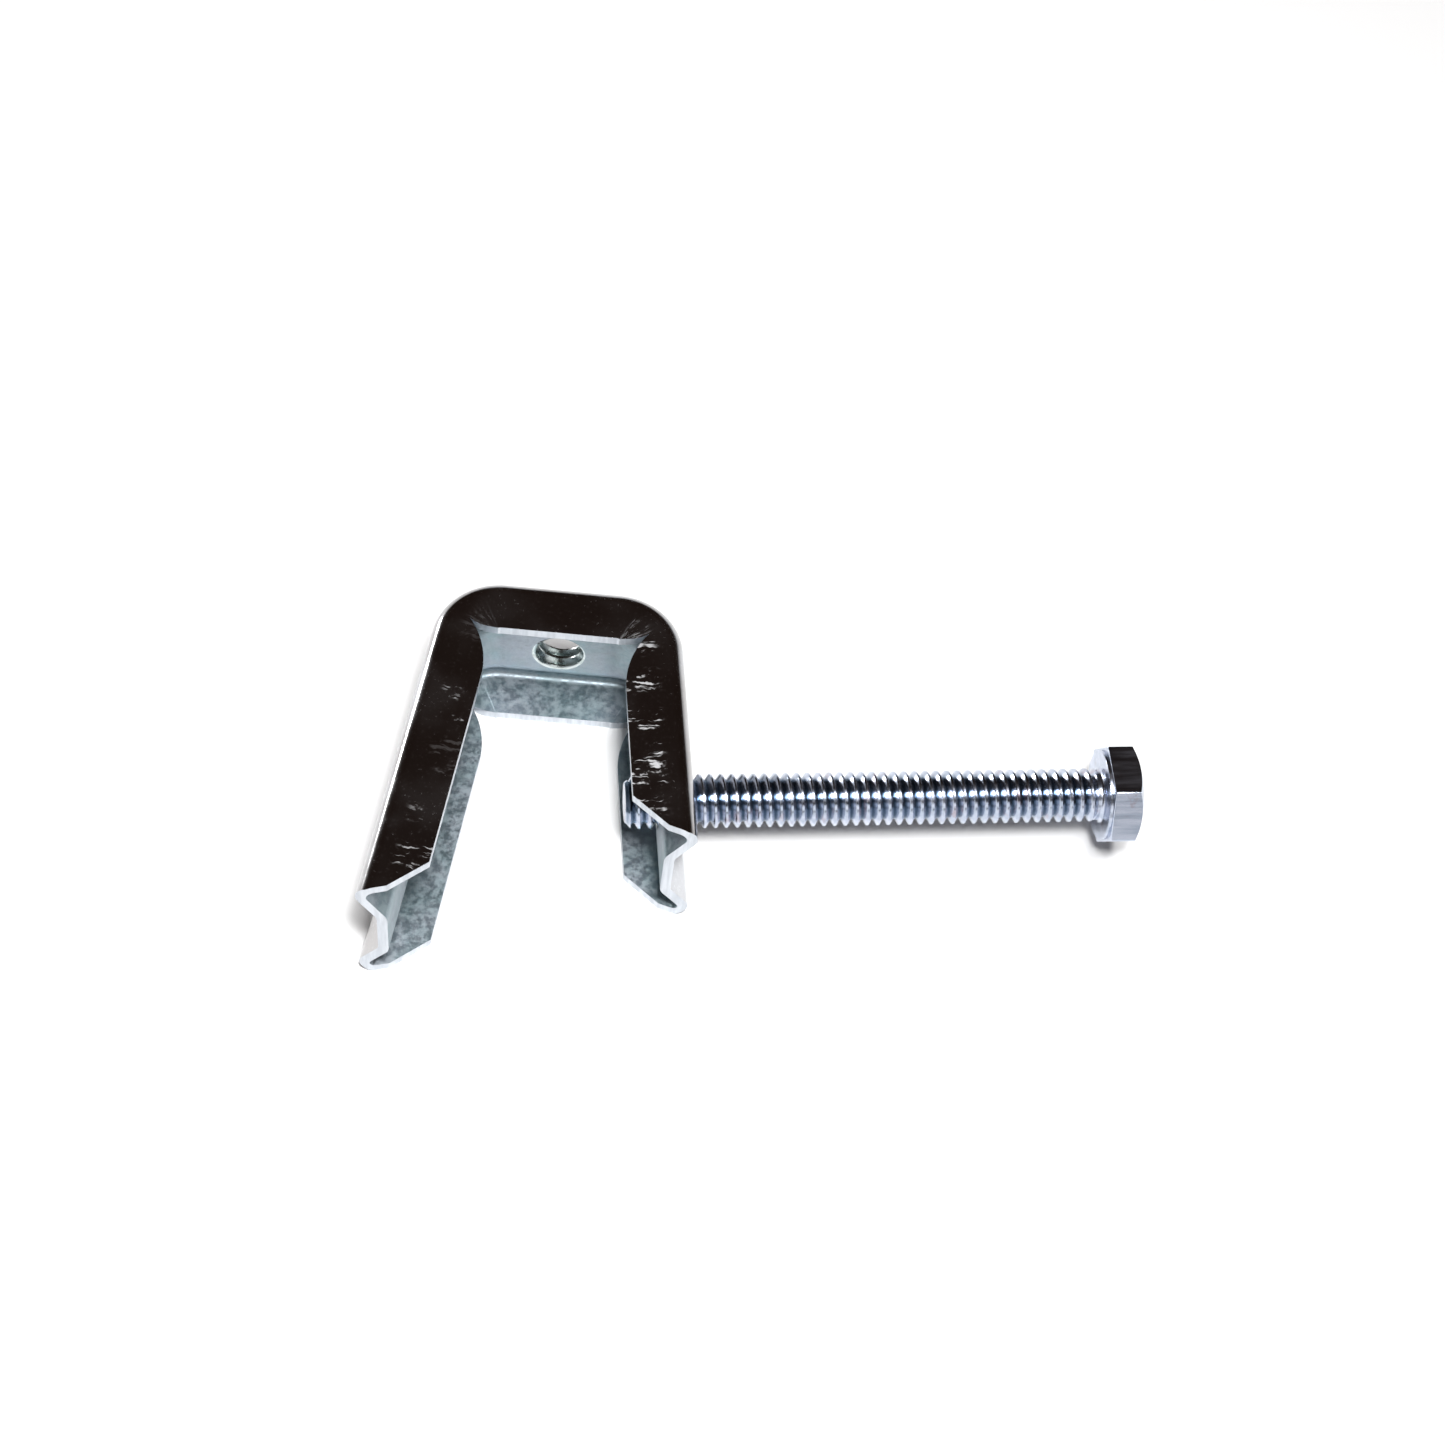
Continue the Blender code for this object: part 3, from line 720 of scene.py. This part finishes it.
def make_hex_bolt():
    """The bolt along +Z with its tip at zero, then laid along +X in its place."""
    turns = int(BOLT_LENGTH / THREAD_PITCH) + 3
    bolt = threaded_rod("hex_bolt_fine", turns, -2 * THREAD_PITCH)
    trim_rod(bolt, -THREAD_PITCH / 2, BOLT_LENGTH - NECK_LENGTH / 2)
    wide = THREAD_RADIUS + JOIN
    tip = THREAD_RADIUS - TIP_CHAMFER
    ends = [(0, 0), (tip - TIP_ROUND, 0), (tip + TIP_ROUND, 2 * TIP_ROUND), (wide, wide - tip)]
    ends += [(wide, BOLT_LENGTH), (0, BOLT_LENGTH)]
    cut(bolt, turned("bolt_end", ends), "INTERSECT")
    head = hex_head()
    cut(head, neck_and_washer_face(), "UNION")
    cut(bolt, head, "UNION")
    bolt.data.materials.clear()
    bolt.data.materials.append(bolt_zinc())
    place_along(bolt, Vector((1, 0, 0)), Vector((BOLT_TIP_X, 0, HALF_HEIGHT)))
    smooth(bolt)
    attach(bolt, "bolt")
    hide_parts("hex_bolt")


# ---------------------------------------------------------------- studio

def make_floor():
    """A wide white table top, level with the underside of the back flanges."""
    bpy.ops.object.select_all(action="DESELECT")
    bpy.ops.mesh.primitive_plane_add(size=FLOOR_SIZE, location=(0, 0, cad_box[0][2]))
    floor = bpy.context.object
    floor.name = "floor"
    paper = bpy.data.materials.new("white paper")
    paper.use_nodes = True
    shader = paper.node_tree.nodes["Principled BSDF"]
    shader.inputs["Base Color"].default_value = (0.9, 0.9, 0.9, 1.0)
    shader.inputs["Roughness"].default_value = 0.9
    floor.data.materials.append(paper)


def make_light(name, centre, size, power):
    """A soft box at a place, facing the clamp."""
    lamp = bpy.data.lights.new(name, "AREA")
    lamp.shape = "RECTANGLE"
    lamp.size, lamp.size_y = size
    lamp.energy = power
    box = bpy.data.objects.new(name, lamp)
    bpy.context.scene.collection.objects.link(box)
    box.location = centre
    box.rotation_euler = (LIGHT_TARGET - Vector(centre)).to_track_quat("-Z", "Y").to_euler()


def make_camera():
    """The view from above the mouth of the U, a little turned."""
    azimuth, elevation, roll = CAMERA_AZIMUTH, CAMERA_ELEVATION, CAMERA_ROLL
    back = Vector((sin(azimuth) * cos(elevation), -cos(azimuth) * cos(elevation), sin(elevation)))
    right = Vector((cos(azimuth), sin(azimuth), 0))
    up = back.cross(right)
    across = right * cos(roll) + up * sin(roll)
    upward = up * cos(roll) - right * sin(roll)
    camera = bpy.data.objects.new("camera", bpy.data.cameras.new("camera"))
    camera.data.lens = CAMERA_LENS
    camera.data.sensor_width = 36.0
    camera.data.clip_start = 0.01
    bpy.context.scene.collection.objects.link(camera)
    turn = Matrix((across, upward, back)).transposed().to_4x4()
    camera.matrix_world = Matrix.Translation(CAMERA_TARGET + back * CAMERA_DISTANCE) @ turn
    bpy.context.scene.camera = camera


def make_sun(direction, strength, softness):
    """Even light on the whole table, from one direction."""
    lamp = bpy.data.lights.new("even light", "SUN")
    lamp.energy = strength
    lamp.angle = softness
    sun = bpy.data.objects.new("even light", lamp)
    bpy.context.scene.collection.objects.link(sun)
    sun.rotation_euler = Vector(direction).to_track_quat("Z", "Y").to_euler()


def make_room():
    """A dark room overhead, with pale walls low down all round the table."""
    world = bpy.data.worlds.new("room")
    world.use_nodes = True
    nodes = world.node_tree.nodes
    links = world.node_tree.links
    height = nodes.new("ShaderNodeSeparateXYZ")
    links.new(nodes.new("ShaderNodeTexCoord").outputs["Generated"], height.inputs["Vector"])
    walls = nodes.new("ShaderNodeValToRGB")
    walls.color_ramp.elements[0].position = PALE_WALL_TOP
    walls.color_ramp.elements[0].color = (0.72, 0.72, 0.72, 1.0)
    walls.color_ramp.elements[1].position = DARK_ROOM_START
    walls.color_ramp.elements[1].color = (0.022, 0.013, 0.010, 1.0)
    links.new(height.outputs["Z"], walls.inputs["Fac"])
    links.new(walls.outputs["Color"], nodes["Background"].inputs["Color"])
    bpy.context.scene.world = world


def make_studio():
    make_floor()
    make_camera()
    make_room()
    make_light("key", (0.005, -0.12, 0.29), (0.045, 0.04), 0.9)
    make_sun((0.04, -0.25, 0.97), 2.3, radians(14.0))
    make_light("left strip", (-0.45, 0.50, 0.03), (0.12, 0.05), 1.5)
    make_light("front box", (0.1, -0.9, 0.35), (0.5, 0.4), 1.0)
    bpy.context.scene.view_settings.view_transform = "Standard"


make_clamp_frame()
make_hex_bolt()
make_studio()
